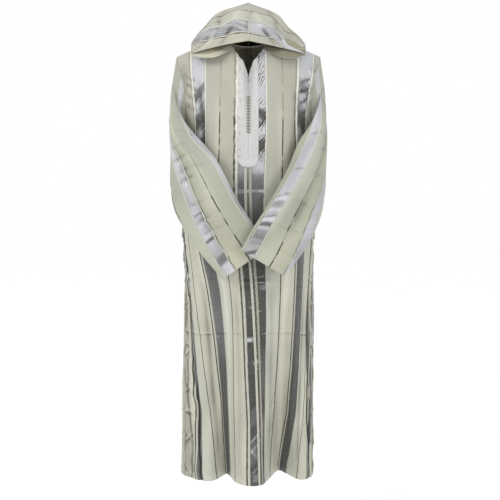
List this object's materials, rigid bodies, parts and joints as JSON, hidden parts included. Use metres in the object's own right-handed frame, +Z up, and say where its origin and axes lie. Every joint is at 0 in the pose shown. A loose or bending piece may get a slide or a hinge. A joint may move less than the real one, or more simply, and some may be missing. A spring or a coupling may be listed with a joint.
{
  "type": "hooded robe",
  "caption": "Long hooded robe in striped satin cloth with a braided front placket, knotted buttons and long sleeves, standing open as worn.",
  "frame": {"origin": "between the shoulders, level with the neck ends of the shoulder seams less 35 mm, where the wearer holds the robe up", "axes": "+Z up, the robe's front faces -Y, the wearer's left is +X"},
  "size_m": [0.4967, 0.4335, 1.5126],
  "materials": {
    "cloth": "cream cotton cloth with satin stripes",
    "sfifa": "off-white flat braid",
    "cord": "cream corded trim",
    "side_braid": "cream wavy braid",
    "knots": "beige-brown knotted silk cord"
  },
  "bodies": {
    "root": {"front_left": "cloth", "front_right": "cloth", "back": "cloth", "sleeve_left": "cloth", "sleeve_right": "cloth", "hood_left": "cloth", "hood_right": "cloth", "placket_left": "sfifa", "placket_right": "sfifa", "placket_end": "sfifa", "centre_trim_left": "cord", "centre_trim_right": "cord", "side_trim_left": "side_braid", "side_trim_right": "side_braid", "button_01": "knots", "button_02": "knots", "button_03": "knots", "button_04": "knots", "button_05": "knots", "button_06": "knots", "button_07": "knots", "button_08": "knots", "button_09": "knots", "button_10": "knots", "button_11": "knots", "button_12": "knots", "button_13": "knots"}
  },
  "joints": []
}
